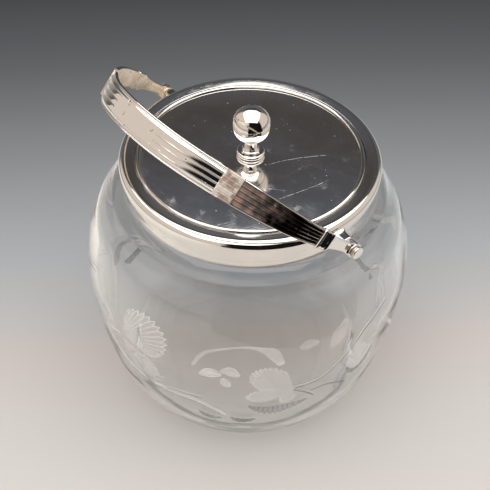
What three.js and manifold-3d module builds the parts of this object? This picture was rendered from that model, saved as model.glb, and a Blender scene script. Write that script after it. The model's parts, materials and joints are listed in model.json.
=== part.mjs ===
// A lidded glass biscuit barrel: a round clear jar with a silver-plated collar, a lift-off lid
// with a ball knob, and an arched swing handle that leans forward on its stops.
// Millimetres, +Z up. The origin is the centre of the base on the table. The handle swings about
// a line along X, and at rest it leans towards -Y.

import * as THREE from 'three';
import { mergeVertices } from 'three/addons/utils/BufferGeometryUtils.js';
import Module from 'manifold-3d';

const wasm = await Module();
wasm.setup();

// Driving dimensions of the whole object
const rimHeight = 140;
const jarRadius = 79;
const collarRadius = 60;
const handleRise = 79;
const handleLean = THREE.MathUtils.degToRad(48.7);
const seatGap = 0.3;
const sheet = 0.9;

// Jar: its outline's heights are shares of the shoulder's height. Up to the widest place its radii
// are shares of the jar's radius, and above it they are shares of the way out from neck to widest
const jarWall = 3.6;
const jarFloor = 9.5;
const footInnerRadius = 44;
const footRise = 1;
const pontilRadius = 23;
const pontilDepth = 1.4;
const pontilHollowShare = 0.75;
const neckWall = 4;
const bellyShares = [
  [0.658, 0], [0.735, 0.012], [0.806, 0.066], [0.904, 0.192], [0.959, 0.345], [0.99, 0.5], [1, 0.65],
];
const shoulderShares = [[0.849, 0.81], [0.536, 0.928], [0.242, 0.993]];
const floorFlatShare = 0.6;
const floorCornerShare = 0.12;

// Collar: a wall band, a rolled rim over it and a flat seat ring that the lid rests on. The rim is
// round outside its crest and falls gently inside it
const collarDepth = 13.6;
const rollWidth = 7.1;
const rollHeight = 2;
const rollOuterRound = 3;
const rollInnerFall = 1;
const rollOverhang = 0.6;
const rollSlopeShare = 0.35;
const seatThickness = 1;
const neckClearance = 0.9;

// Lid: a plate with a raised edge bead, and a locating ring under it that drops into the neck
const lidPlateThickness = 1.1;
const lidRunningGap = 0.6;
const beadWidth = 2.1;
const beadHeight = 0.7;
const locatingDepth = 6.5;

// Knob: foot, stem and ball drawn down on the lid by a stud with its washer and nut
const ballRadius = 8.75;
const ballCentreHeight = 16.6;
const ballFlatRadius = 3.4;
const footDiscRadius = 6.5;
const footDiscHeight = 2;
const footStepRadius = 4.9;
const stemWaistRadius = 2.9;
const stemCapHeight = 1.1;
const studRadius = 1.6;
const studDepthInBall = 4;
const studTail = 0.8;
const washerRadius = 4.6;
const washerThickness = 0.8;
const nutRadius = 4;
const nutThickness = 2.6;

// Pivots: a lug on each side of the collar, and a headed pin through the handle's eye
const pivotDrop = 6.7;
const lugReach = 6.3;
const lugRootWidth = 6.4;
const lugTipWidth = 4.8;
const lugRiseAbove = 3.2;
const lugRootDrop = 5;
const lugTipDrop = 3;
const pinRadius = 1.3;
const pinHeadRadius = 2.9;
const pinHeadThickness = 0.9;
const pinDomeShare = 0.5;
const pinInset = 0.6;
const eyeRadius = 3.6;
const eyeLength = 4.6;
const pivotWasherThickness = 0.4;

// Handle: the arch's centre line as shares of its half span and rise, from pivot to crown
const bandThickness = 1.8;
const bandEndWidth = 8;
const bandCrownWidth = 12.4;
const archShares = [
  [1, -0.12], [1, 0], [0.997, 0.127], [0.98, 0.276], [0.907, 0.454], [0.745, 0.646],
  [0.542, 0.814], [0.294, 0.953], [0, 1],
];
const archLift = 0.08;
const armThickness = 2.5;
const armEyeWidth = 5.4;
const armNeckWidth = 5;
const armLength = 17;
const hubWidth = 7.6;
const hubLength = 2.4;
const hubThickness = 2.7;
const blockWidth = 8.8;
const blockLength = 4.3;
const blockThickness = 3.1;
const tieStart = 64.5;
const tieLength = 8;
const tieProud = 0.25;

// How finely round shapes are divided
const bodySteps = 48;
const rimSteps = 60;
const knobSteps = 24;
const pinSteps = 16;
const cornerSteps = 4;
const nutSides = 6;
const outlineSteps = 20;
const archSteps = 44;
const archSamples = 176;
const tieSteps = 3;
const weldTolerance = 1e-4;
const cutOverrun = 2;

// Heights and radii that follow from the values above
const rollBase = rimHeight - rollHeight;
const rollInnerRadius = collarRadius - rollWidth;
const collarWallRadius = collarRadius - rollOverhang;
const collarBottom = rimHeight - collarDepth;
const wallInnerRadius = collarWallRadius - sheet;
const seatTop = rollBase - seatGap;
const seatBottom = seatTop - seatThickness;
const jarTop = seatBottom - seatGap;
const shoulderHeight = collarBottom - seatGap;
const lidRadius = rollInnerRadius - lidRunningGap;
const lidBottom = seatTop + seatGap;
const lidTop = lidBottom + lidPlateThickness;
const seatInnerRadius = lidRadius - beadWidth;
const neckInnerRadius = seatInnerRadius + seatGap;
const neckRadius = neckInnerRadius + neckWall;
const locatingRadius = seatInnerRadius - neckClearance;
const ballCentre = lidTop + ballCentreHeight;
const ballFlat = ballCentre - Math.sqrt(ballRadius ** 2 - ballFlatRadius ** 2);
const footDiscBase = lidTop + seatGap;
const stemBase = footDiscBase + footDiscHeight + seatGap;
const stemTop = ballFlat - seatGap;
const boreRadius = studRadius + seatGap;
const washerTop = lidBottom - seatGap;
const nutTop = washerTop - washerThickness - seatGap;
const studTop = ballFlat + studDepthInBall;
const studBottom = nutTop - nutThickness - studTail;
const pivotHeight = rimHeight - pivotDrop;
const lugRoot = collarWallRadius + seatGap;
const lugTip = lugRoot + lugReach;
const eyeInner = lugTip + seatGap;
const eyeOuter = eyeInner + eyeLength;
const pivotWasherInner = eyeOuter + seatGap;
const pinHeadInner = pivotWasherInner + pivotWasherThickness + seatGap;
const pinBoreRadius = pinRadius + seatGap;
const archHalfSpan = (eyeInner + eyeOuter) / 2;
const bandStart = armLength + hubLength + blockLength + seatGap;

// Materials
const silver = { color: 0xd8d2c8, roughness: 0.08, metalness: 1 };
const looks = {
  glass: { color: 0xe4e6e4, roughness: 0.03, metalness: 0, transparent: true, opacity: 0.35 },
  plaster: { color: 0xd9d5ca, roughness: 0.9, metalness: 0 },
  silver,
  lidSilver: { ...silver, color: 0xc4c3c2, roughness: 0.12 },
  steel: { color: 0x8f8d88, roughness: 0.4, metalness: 1 },
};

function piece(name, geometry, look) {
  const mesh = new THREE.Mesh(geometry, new THREE.MeshStandardMaterial(looks[look]));
  mesh.name = name;
  return mesh;
}

// A profile of [radius, height] points turned about the Z axis
function turned(points, steps) {
  const profile = points.map(([radius, height]) => new THREE.Vector2(radius, height));
  return new THREE.LatheGeometry(profile, steps).rotateX(Math.PI / 2);
}

// A ring whose section is the given points in order, closed on itself
function turnedRing(points, steps) {
  return turned([...points, points[0]], steps);
}

function plainRing(innerRadius, outerRadius, bottom, top, steps) {
  const section = [[innerRadius, bottom], [outerRadius, bottom], [outerRadius, top], [innerRadius, top]];
  return turnedRing(section, steps);
}

function flatShape(points) {
  return new THREE.Shape(points.map(([across, up]) => new THREE.Vector2(across, up)));
}

function extruded(points, depth) {
  const geometry = new THREE.ExtrudeGeometry(flatShape(points), { depth, bevelEnabled: false });
  return geometry.translate(0, 0, -depth / 2);
}

// An outline of [x, z] points given a width along Y
function alongY(points, width) {
  return extruded(points, width).rotateX(Math.PI / 2);
}

// An outline of [y, z] points given a length along X, from one place to another
function alongX(points, from, to) {
  const bar = extruded(points, to - from).rotateX(Math.PI / 2).rotateZ(Math.PI / 2);
  return bar.translate((from + to) / 2, 0, 0);
}

function turnedAlongX(points, steps) {
  return turned(points, steps).rotateY(Math.PI / 2);
}

function solidOf(geometry) {
  const bare = new THREE.BufferGeometry();
  bare.setAttribute('position', geometry.getAttribute('position').clone());
  if (geometry.index) {
    bare.setIndex(geometry.index.clone());
  }
  const merged = mergeVertices(bare, weldTolerance);
  const vertProperties = new Float32Array(merged.getAttribute('position').array);
  const triVerts = new Uint32Array(merged.index.array);
  return new wasm.Manifold(new wasm.Mesh({ numProp: 3, vertProperties, triVerts }));
}

function geometryOf(solid) {
  const mesh = solid.getMesh();
  const geometry = new THREE.BufferGeometry();
  geometry.setAttribute('position', new THREE.BufferAttribute(new Float32Array(mesh.vertProperties), 3));
  geometry.setIndex(new THREE.BufferAttribute(new Uint32Array(mesh.triVerts), 1));
  geometry.computeVertexNormals();
  return geometry;
}

function pinBore(from, to) {
  return solidOf(turnedAlongX([[0, from], [pinBoreRadius, from], [pinBoreRadius, to], [0, to]], pinSteps));
}

// Jar
function jarOutline() {
  const wayOut = jarRadius - neckRadius;
  const belly = bellyShares.map(([share, up]) => [share * jarRadius, up * shoulderHeight]);
  const shoulder = shoulderShares.map(([share, up]) => [neckRadius + share * wayOut, up * shoulderHeight]);
  const places = [...belly, ...shoulder, [wallInnerRadius - seatGap, shoulderHeight]];
  return new THREE.SplineCurve(places.map(([out, up]) => new THREE.Vector2(out, up))).getPoints(outlineSteps);
}

// The same outline moved square to itself towards the inside
function movedInwards(outline, distance) {
  return outline.map((place, index) => {
    const before = outline[Math.max(index - 1, 0)];
    const after = outline[Math.min(index + 1, outline.length - 1)];
    const along = after.clone().sub(before).normalize();
    return new THREE.Vector2(place.x - along.y * distance, place.y + along.x * distance);
  });
}

function jarInside(outline) {
  const cornerTop = jarFloor + floorCornerShare * shoulderHeight;
  const inside = movedInwards(outline, jarWall);
  const wall = inside.filter((place) => place.y > cornerTop && place.x > neckInnerRadius);
  const lowest = wall[0];
  const corner = new THREE.QuadraticBezierCurve(
    new THREE.Vector2(floorFlatShare * jarRadius, jarFloor),
    new THREE.Vector2(lowest.x - jarWall, jarFloor),
    lowest,
  ).getPoints(cornerSteps);
  return [new THREE.Vector2(0, jarFloor), ...corner, ...wall.slice(1)];
}

function jarSection() {
  const outline = jarOutline();
  const shoulder = outline[outline.length - 1];
  const neckRoot = shoulderHeight + (shoulder.x - neckRadius);
  const hollow = [pontilRadius / 2, footRise + pontilDepth * pontilHollowShare];
  const underside = [[0, footRise + pontilDepth], hollow, [pontilRadius, footRise]];
  underside.push([footInnerRadius - footRise, footRise], [footInnerRadius, 0]);
  const outside = outline.map((place) => [place.x, place.y]);
  const inside = jarInside(outline).map((place) => [place.x, place.y]);
  const lastInside = inside[inside.length - 1];
  const lip = [[neckRadius, neckRoot], [neckRadius, jarTop], [neckInnerRadius, jarTop]];
  lip.push([neckInnerRadius, lastInside[1] + (lastInside[0] - neckInnerRadius)]);
  return [...underside, ...outside, ...lip, ...inside.reverse()];
}

// Collar
function rollSection() {
  const crest = collarRadius - rollOuterRound;
  const inner = collarRadius - rollWidth;
  const round = new THREE.EllipseCurve(crest, rollBase, rollOuterRound, rollHeight, 0, Math.PI / 2);
  const outside = round.getPoints(knobSteps / 4);
  const fall = new THREE.QuadraticBezierCurve(
    outside[outside.length - 1],
    new THREE.Vector2(crest + (inner - crest) * rollSlopeShare, rimHeight),
    new THREE.Vector2(inner, rimHeight - rollInnerFall),
  );
  const places = [...outside, ...fall.getPoints(knobSteps / 4).slice(1)];
  return [...places.map((place) => [place.x, Math.max(place.y, rollBase)]), [inner, rollBase]];
}

function plasterSection() {
  const inner = neckRadius + seatGap;
  const outer = wallInnerRadius - seatGap;
  const outerFoot = collarBottom + sheet;
  const innerFoot = outerFoot + (outer - inner);
  return [[inner, innerFoot], [outer, outerFoot], [outer, jarTop], [inner, jarTop]];
}

function collar() {
  const group = new THREE.Group();
  const wall = plainRing(wallInnerRadius, collarWallRadius, collarBottom, seatTop, rimSteps);
  const seat = plainRing(seatInnerRadius, wallInnerRadius - seatGap, seatBottom, seatTop, rimSteps);
  group.add(piece('collar_wall', wall, 'silver'));
  group.add(piece('collar_roll', turnedRing(rollSection(), rimSteps), 'silver'));
  group.add(piece('collar_seat', seat, 'silver'));
  group.add(piece('plaster_bed', turnedRing(plasterSection(), bodySteps), 'plaster'));
  return group;
}

// Lid and knob
function beadSection() {
  const base = lidTop + seatGap;
  const halfWidth = beadWidth / 2;
  const arch = new THREE.EllipseCurve(lidRadius - halfWidth, base, halfWidth, beadHeight, 0, Math.PI);
  return arch.getPoints(cornerSteps).map((place) => [place.x, Math.max(place.y, base)]);
}

function ballProfile() {
  const boreTop = studTop + seatGap;
  const flatAngle = Math.asin((ballFlat - ballCentre) / ballRadius);
  const round = new THREE.EllipseCurve(0, ballCentre, ballRadius, ballRadius, flatAngle, Math.PI / 2);
  const arc = round.getPoints(knobSteps / 2).map((place) => [Math.max(place.x, 0), place.y]);
  return [[0, boreTop], [boreRadius, boreTop], [boreRadius, ballFlat], ...arc];
}

function stemSection() {
  const flare = new THREE.QuadraticBezierCurve(
    new THREE.Vector2(footStepRadius, stemBase),
    new THREE.Vector2(stemWaistRadius, stemBase),
    new THREE.Vector2(stemWaistRadius, (stemBase + stemTop) / 2),
  ).getPoints(cornerSteps);
  const capBase = stemTop - stemCapHeight;
  const outside = flare.map((place) => [place.x, place.y]);
  outside.push([stemWaistRadius, capBase], [ballFlatRadius, capBase + stemCapHeight / 2]);
  return [[boreRadius, stemBase], ...outside, [ballFlatRadius, stemTop], [boreRadius, stemTop]];
}

function footDiscSection() {
  const halfHeight = footDiscHeight / 2;
  const edge = new THREE.EllipseCurve(
    footDiscRadius - halfHeight, footDiscBase + halfHeight, halfHeight, halfHeight, -Math.PI / 2, Math.PI / 2,
  ).getPoints(pinSteps / 2);
  const round = edge.map((place) => [place.x, place.y]);
  return [[boreRadius, footDiscBase], ...round, [boreRadius, footDiscBase + footDiscHeight]];
}

function lid() {
  const group = new THREE.Group();
  const plate = plainRing(boreRadius, lidRadius, lidBottom, lidTop, rimSteps);
  const locatingTop = lidBottom - seatGap;
  const locatingBottom = locatingTop - locatingDepth;
  const ring = plainRing(locatingRadius - sheet, locatingRadius, locatingBottom, locatingTop, rimSteps);
  group.add(piece('lid_plate', plate, 'lidSilver'));
  group.add(piece('lid_edge_bead', turnedRing(beadSection(), rimSteps), 'silver'));
  group.add(piece('lid_locating_ring', ring, 'silver'));
  return group;
}

function knob() {
  const group = new THREE.Group();
  const stud = [[0, studBottom], [studRadius, studBottom], [studRadius, studTop], [0, studTop]];
  const washer = plainRing(boreRadius, washerRadius, washerTop - washerThickness, washerTop, knobSteps);
  const nut = plainRing(boreRadius, nutRadius, nutTop - nutThickness, nutTop, nutSides);
  group.add(piece('knob_ball', turned(ballProfile(), knobSteps), 'silver'));
  group.add(piece('knob_stem', turnedRing(stemSection(), knobSteps), 'silver'));
  group.add(piece('knob_foot', turnedRing(footDiscSection(), knobSteps), 'silver'));
  group.add(piece('knob_stud', turned(stud, pinSteps), 'steel'));
  group.add(piece('knob_washer', washer, 'steel'));
  group.add(piece('knob_nut', nut, 'steel'));
  return group;
}

// Pivots: drawn for the +X side, about the pivot's own axis
function lug() {
  const root = lugRoot - cutOverrun;
  const halfRoot = lugRootWidth / 2;
  const halfTip = lugTipWidth / 2;
  const plan = [[root, -halfRoot], [lugTip, -halfTip], [lugTip, halfTip], [root, halfRoot]];
  const side = [[root, -lugRootDrop], [lugTip, -lugTipDrop], [lugTip, lugRiseAbove], [root, lugRiseAbove]];
  const block = solidOf(extruded(plan, rimHeight));
  const profile = solidOf(alongY(side, lugRootWidth + cutOverrun));
  const collarSpace = solidOf(
    turned([[0, -rimHeight], [lugRoot, -rimHeight], [lugRoot, rimHeight], [0, rimHeight]], rimSteps * 2),
  );
  const shaped = block.intersect(profile).subtract(collarSpace);
  return geometryOf(shaped.subtract(pinBore(root, lugTip + cutOverrun)));
}

function pivotPin() {
  const headOuter = pinHeadInner + pinHeadThickness;
  const domeBase = pinHeadInner + pinHeadThickness * pinDomeShare;
  const profile = [[0, lugRoot + pinInset], [pinRadius, lugRoot + pinInset], [pinRadius, pinHeadInner]];
  profile.push([pinHeadRadius, pinHeadInner], [pinHeadRadius, domeBase]);
  profile.push([pinHeadRadius * pinDomeShare, headOuter], [0, headOuter]);
  return turnedAlongX(profile, pinSteps);
}

function pivotWasher() {
  const outer = pivotWasherInner + pivotWasherThickness;
  const section = [[pinBoreRadius, pivotWasherInner], [pinHeadRadius, pivotWasherInner]];
  section.push([pinHeadRadius, outer], [pinBoreRadius, outer]);
  return turnedAlongX([...section, section[0]], pinSteps);
}

// One side's pieces stand at +X as drawn; the other side's are turned half a circle about Z
function side(name, turn) {
  const group = new THREE.Group();
  group.add(piece(`lug_${name}`, lug(), 'silver'));
  group.add(piece(`pivot_pin_${name}`, pivotPin(), 'silver'));
  group.add(piece(`pivot_washer_${name}`, pivotWasher(), 'silver'));
  group.position.z = pivotHeight;
  group.rotation.z = turn;
  return group;
}

// Handle, drawn upright in the XZ plane with the pivot line at the origin
function archCurve() {
  const half = archShares.map(([acrossShare, upShare]) => [acrossShare * archHalfSpan, upShare * handleRise]);
  const other = half.slice(0, -1).reverse().map(([across, up]) => [-across, up]);
  const places = [...half, ...other].map(([across, up]) => new THREE.Vector2(across, up));
  return new THREE.SplineCurve(places);
}

// The arch's centre line as places with their distance from the +X pivot
function archLine() {
  const places = archCurve().getPoints(archSamples);
  const firstAbove = places.findIndex((place) => place.y >= 0);
  let travelled = 0;
  return places.slice(firstAbove, places.length - firstAbove).map((place, index, kept) => {
    travelled += index ? place.distanceTo(kept[index - 1]) : 0;
    return { place, travelled };
  });
}

function placeAt(line, distance) {
  const next = Math.max(line.findIndex((step) => step.travelled >= distance), 1);
  const before = line[next - 1];
  const after = line[next];
  const share = (distance - before.travelled) / (after.travelled - before.travelled);
  const along = after.place.clone().sub(before.place).normalize();
  const place = before.place.clone().lerp(after.place, share);
  return { place, outward: new THREE.Vector2(along.y, -along.x) };
}

// A strip of the arch between two distances from the pivot, as thick as given, whose middle lies
// the lift outside the arch's line
function archStrip(line, from, to, thickness, steps, lift = 0) {
  const outer = [];
  const inner = [];
  const front = lift + thickness / 2;
  const back = lift - thickness / 2;
  for (let index = 0; index <= steps; index += 1) {
    const { place, outward } = placeAt(line, from + ((to - from) * index) / steps);
    outer.push([place.x + outward.x * front, place.y + outward.y * front]);
    inner.push([place.x + outward.x * back, place.y + outward.y * back]);
  }
  return [...outer, ...inner.reverse()];
}

// The band's width against height: narrow at its ends, full at the crown
function bandOutline(low) {
  const half = [];
  for (let index = 0; index <= outlineSteps; index += 1) {
    const share = index / outlineSteps;
    const up = low + (handleRise + cutOverrun - low) * share;
    const width = bandEndWidth + (bandCrownWidth - bandEndWidth) * Math.sin((share * Math.PI) / 2);
    half.push([width / 2, up]);
  }
  const other = half.map(([across, up]) => [-across, up]).reverse();
  return [...half, ...other];
}

function handleBand(line) {
  const length = line[line.length - 1].travelled;
  const low = placeAt(line, bandStart).place.y - cutOverrun;
  const full = bandCrownWidth + cutOverrun;
  const proud = bandThickness + 2 * tieProud;
  const width = solidOf(alongX(bandOutline(low), -archHalfSpan - eyeLength, archHalfSpan + eyeLength));
  let band = solidOf(alongY(archStrip(line, bandStart, length - bandStart, bandThickness, archSteps), full));
  for (const start of [tieStart, length - tieStart - tieLength]) {
    band = band.add(solidOf(alongY(archStrip(line, start, start + tieLength, proud, tieSteps), full)));
  }
  return geometryOf(band.intersect(width));
}

// One stretch of the handle's cast end, square in section, its back in line with the arm's back
function endStretch(line, from, to, thickness, lowWidth, highWidth) {
  const strip = archStrip(line, from, to, thickness, cornerSteps, (thickness - armThickness) / 2);
  const heights = strip.map(([, up]) => up);
  const low = Math.min(...heights) - seatGap;
  const high = Math.max(...heights) + seatGap;
  const outline = [[-lowWidth / 2, low], [lowWidth / 2, low], [highWidth / 2, high], [-highWidth / 2, high]];
  const length = solidOf(alongX(outline, eyeInner - blockThickness, eyeOuter + blockThickness));
  return solidOf(alongY(strip, highWidth + lowWidth)).intersect(length);
}

function handleEnd(line) {
  const hubStart = armLength;
  const blockStart = hubStart + hubLength;
  const eyeProfile = [[0, eyeInner], [eyeRadius, eyeInner], [eyeRadius, eyeOuter], [0, eyeOuter]];
  return geometryOf(
    solidOf(turnedAlongX(eyeProfile, pinSteps))
      .add(endStretch(line, archLift, hubStart + archLift, armThickness, armEyeWidth, armNeckWidth))
      .add(endStretch(line, hubStart, blockStart + archLift, hubThickness, hubWidth, hubWidth))
      .add(endStretch(line, blockStart, blockStart + blockLength, blockThickness, blockWidth, blockWidth))
      .subtract(pinBore(lugTip - cutOverrun, eyeOuter + cutOverrun)),
  );
}

function handle() {
  const group = new THREE.Group();
  const line = archLine();
  const leftEnd = piece('handle_end_left', handleEnd(line), 'silver');
  leftEnd.rotation.z = Math.PI;
  group.add(piece('handle_band', handleBand(line), 'silver'));
  group.add(piece('handle_end_right', handleEnd(line), 'silver'));
  group.add(leftEnd);
  group.position.z = pivotHeight;
  group.rotation.x = handleLean;
  return group;
}

const barrel = new THREE.Group();
barrel.add(piece('glass_jar', turned(jarSection(), bodySteps), 'glass'));
barrel.add(collar(), lid(), knob(), side('right', 0), side('left', Math.PI), handle());

export default barrel;
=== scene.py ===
"""A lidded glass biscuit barrel dressed for its picture: clear glass with frosted foliage, a
silver-plated collar, lid, ball knob and swing handle, on a pale studio table.

Metres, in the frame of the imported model: +Z up, the handle's pivot line along X.
"""

import bisect
import contextlib
import itertools
import json
import math

import bmesh
import bpy
from mathutils import Matrix, Vector


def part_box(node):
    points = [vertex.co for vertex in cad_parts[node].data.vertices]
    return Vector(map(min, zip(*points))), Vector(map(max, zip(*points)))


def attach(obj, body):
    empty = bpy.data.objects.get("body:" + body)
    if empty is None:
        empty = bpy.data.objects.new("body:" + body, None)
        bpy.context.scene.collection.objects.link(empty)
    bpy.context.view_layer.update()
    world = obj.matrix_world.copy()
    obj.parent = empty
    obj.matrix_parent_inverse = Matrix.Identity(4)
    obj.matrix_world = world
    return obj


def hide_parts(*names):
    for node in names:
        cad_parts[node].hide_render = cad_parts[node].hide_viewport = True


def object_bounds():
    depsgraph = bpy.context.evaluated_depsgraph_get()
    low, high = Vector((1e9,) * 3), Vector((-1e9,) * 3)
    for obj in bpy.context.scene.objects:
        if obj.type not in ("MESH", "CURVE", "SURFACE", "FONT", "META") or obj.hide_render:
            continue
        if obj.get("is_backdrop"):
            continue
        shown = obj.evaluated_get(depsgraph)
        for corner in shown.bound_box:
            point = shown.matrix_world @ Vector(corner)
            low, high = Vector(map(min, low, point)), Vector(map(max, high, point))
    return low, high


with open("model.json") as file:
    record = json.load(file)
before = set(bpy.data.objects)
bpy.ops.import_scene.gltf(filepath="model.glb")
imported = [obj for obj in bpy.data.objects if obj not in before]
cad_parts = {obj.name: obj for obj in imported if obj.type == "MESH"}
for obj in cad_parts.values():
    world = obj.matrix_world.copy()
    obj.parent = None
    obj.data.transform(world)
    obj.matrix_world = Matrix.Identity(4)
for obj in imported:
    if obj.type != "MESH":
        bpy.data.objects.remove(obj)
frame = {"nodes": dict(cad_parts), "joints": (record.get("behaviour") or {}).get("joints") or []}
cad_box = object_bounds()

MM = 0.001
nodes = frame["nodes"]

# Sizes taken from the frame
rim_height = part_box("collar_roll")[1].z
swing = next(joint for joint in frame["joints"] if joint["name"] == "handle_swing")
pivot = Vector(swing["pos_m"])
handle_lean = math.radians(swing["range_deg"][1]) / 2
running_gap = 0.3 * MM
band_thickness = 1.8 * MM
eye_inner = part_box("lug_right")[1].x + running_gap
eye_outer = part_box("handle_end_right")[1].x
eye_radius = 3.6 * MM
eye_bore = 1.6 * MM
pin_radius = 1.3 * MM
sides = ((1, "right"), (-1, "left"))
handle_half_span = (eye_inner + eye_outer) / 2
band_reach = max(math.hypot(v.co.y, v.co.z - pivot.z) for v in nodes["handle_band"].data.vertices)
handle_rise = band_reach - band_thickness / 2

# Where the picture was taken from, seen from the middle of the lid at the rim's height
camera_bearing = math.radians(-39.4)
camera_height = math.radians(39.35)
camera_distance = 413.7 * MM
camera_roll = math.radians(1.84)
focal_pixels = 905
picture_side = 490
lid_pixel = (247.7, 151.7)
sensor_width = 36
towards_camera = Vector((math.cos(camera_bearing), math.sin(camera_bearing), 0))
rightwards = Vector((-towards_camera.y, towards_camera.x, 0))


def operator(operation, reflected=False):
    """A Python operator on wires, which adds its Math node."""

    def applied(self, other):
        return self.tree.math(operation, *((other, self) if reflected else (self, other)))

    return applied


class Wire:
    """A node socket that arithmetic works on: an expression adds its Math nodes to the tree."""

    __add__ = __radd__ = operator("ADD")
    __mul__ = __rmul__ = operator("MULTIPLY")
    __sub__, __rsub__ = operator("SUBTRACT"), operator("SUBTRACT", reflected=True)
    __truediv__, __rtruediv__ = operator("DIVIDE"), operator("DIVIDE", reflected=True)
    __pow__ = operator("POWER")
    at_least, at_most = operator("MAXIMUM"), operator("MINIMUM")

    def __init__(self, tree, socket):
        self.tree = tree
        self.socket = socket

    def __abs__(self):
        return self.math("ABSOLUTE")

    def math(self, operation, *others):
        return self.tree.math(operation, self, *others)

    def off_half(self):
        """How far the fractional part lies from one half."""
        return abs(self.math("FRACT") - 0.5)

    def smooth(self, low, high):
        """0 below low, 1 above high and a soft step between; the other way round if low > high."""
        sockets = {"Value": self, "From Min": low, "From Max": high}
        return self.tree.add("ShaderNodeMapRange", {"interpolation_type": "SMOOTHSTEP"}, sockets)

    def vector(self, operation, *others, out=0):
        sockets = dict(enumerate((self, *others)))
        return self.tree.add("ShaderNodeVectorMath", {"operation": operation}, sockets, out)

    def dot(self, other):
        return self.vector("DOT_PRODUCT", other, out=1)

    def distance(self, other):
        return self.vector("DISTANCE", other, out=1)

    def parts(self):
        return list(self.tree.outputs("ShaderNodeSeparateXYZ", sockets={0: self}).values())


class Tree:
    """A shader or geometry tree that is being built."""

    def __init__(self, node_tree):
        self.node_tree = node_tree

    def add(self, kind, settings=None, sockets=None, out=0):
        """Adds a node, with its settings first and then its sockets' values or links."""
        node = self.node_tree.nodes.new(kind)
        for name, value in (settings or {}).items():
            if name == "stops":
                self.set_stops(node.color_ramp, value)
            else:
                setattr(node, name, value)
        for name, value in (sockets or {}).items():
            socket = node.inputs[name]
            if isinstance(value, Wire):
                self.node_tree.links.new(value.socket, socket)
            else:
                socket.default_value = (*value, 1) if socket.type == "RGBA" else value
        return Wire(self, node.outputs[out]) if node.outputs else None

    def outputs(self, kind, settings=None, sockets=None):
        """Adds a node and gives every output by its name."""
        node = self.add(kind, settings, sockets).socket.node
        return {socket.name: Wire(self, socket) for socket in node.outputs if socket.name}

    @staticmethod
    def set_stops(ramp, stops):
        while len(ramp.elements) < len(stops):
            ramp.elements.new(1)
        for element, (place, colour) in zip(ramp.elements, stops):
            element.position = place
            element.color = (*colour, 1)

    def math(self, operation, *values):
        return self.add("ShaderNodeMath", {"operation": operation}, dict(enumerate(values)))

    def mix(self, share, first, second):
        """Blends two colours."""
        settings = {"data_type": "RGBA"}
        return self.add("ShaderNodeMix", settings, {0: share, 6: first, 7: second}, out=2)

    def noise(self, place, scale, detail=2.0, roughness=0.5):
        sockets = {"Vector": place, "Scale": scale, "Detail": detail, "Roughness": roughness}
        return self.add("ShaderNodeTexNoise", sockets=sockets)

    def combine(self, x, y, z):
        return self.add("ShaderNodeCombineXYZ", sockets={"X": x, "Y": y, "Z": z})

    def object_place(self):
        return self.add("ShaderNodeTexCoord", out="Object")

    def attribute(self, name):
        return self.add("ShaderNodeAttribute", {"attribute_name": name}, out="Fac")

    def bump(self, height, distance=MM, strength=1.0):
        sockets = {"Strength": strength, "Distance": distance, "Height": height}
        return self.add("ShaderNodeBump", sockets=sockets)


# Shapes


def spline(points, steps):
    """Places along a uniform Catmull-Rom curve through the points, both ends included."""
    last = len(points) - 1
    places = []
    for step in range(steps + 1):
        travel = last * step / steps
        start = min(int(travel), last - 1)
        share = travel - start
        before, here, there, after = (
            Vector(points[min(max(start + shift, 0), last)]) for shift in (-1, 0, 1, 2)
        )
        slope_here = (there - before) / 2
        slope_there = (after - here) / 2
        cubic = 2 * (here - there) + slope_here + slope_there
        square = 3 * (there - here) - 2 * slope_here - slope_there
        places.append(((cubic * share + square) * share + slope_here) * share + here)
    return places


def section_of(node):
    """A turned node's section beside its axis: its (radius, height) places in order, and
    whether it closes."""
    mesh = nodes[node].data
    near, digits = 1e-6, 6
    places = {
        v.index: (max(round(v.co.x, digits), 0.0), round(v.co.z, digits))
        for v in mesh.vertices
        if abs(v.co.y) < near and v.co.x > -near
    }
    links = {place: set() for place in places.values()}
    for edge in mesh.edges:
        first, second = (places.get(index) for index in edge.vertices)
        if first and second and first != second:
            links[first].add(second)
            links[second].add(first)
    ends = [place for place, others in links.items() if len(others) == 1]
    for place in ends:
        level = [other for other in ends if other != place and other[1] == place[1]]
        if level:
            links[place].add(level[0])
    ends = [place for place, others in links.items() if len(others) == 1]
    here = ends[0] if ends else next(iter(links))
    walk = []
    while here and here not in walk:
        walk.append(here)
        here = next((other for other in links[here] if other not in walk), None)
    if ends:
        walk = [(0.0, walk[0][1])] * (walk[0][0] > 0) + walk
        walk += [(0.0, walk[-1][1])] * (walk[-1][0] > 0)
    return [Vector(place) for place in walk], not ends


def turn_at(points, index):
    """How sharply a section turns at one of its places, which may be its first or last."""
    here = points[index]
    before, after = here - points[index - 1], points[(index + 1) % len(points)] - here
    return abs(before.angle_signed(after)) if before.length and after.length else 0.0


def distances_along(places):
    """How far along a line of places each of them lies."""
    steps = ((there - here).length for here, there in zip(places, places[1:]))
    return [0.0, *itertools.accumulate(steps)]


def between(marks, target):
    """Which of the rising marks a target follows, and its share of the way to the next."""
    index = min(max(bisect.bisect_right(marks, target) - 1, 0), len(marks) - 2)
    return index, (target - marks[index]) / (marks[index + 1] - marks[index])


def evenly(points, step):
    """A smooth curve through points, with places at even distances."""
    finer = 12
    fine = spline(points, len(points) * finer)
    travelled = distances_along(fine)
    count = max(2, round(travelled[-1] / step))
    places = []
    for part in range(count + 1):
        index, share = between(travelled, travelled[-1] * part / count)
        places.append(fine[index].lerp(fine[index + 1], share))
    return places


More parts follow.
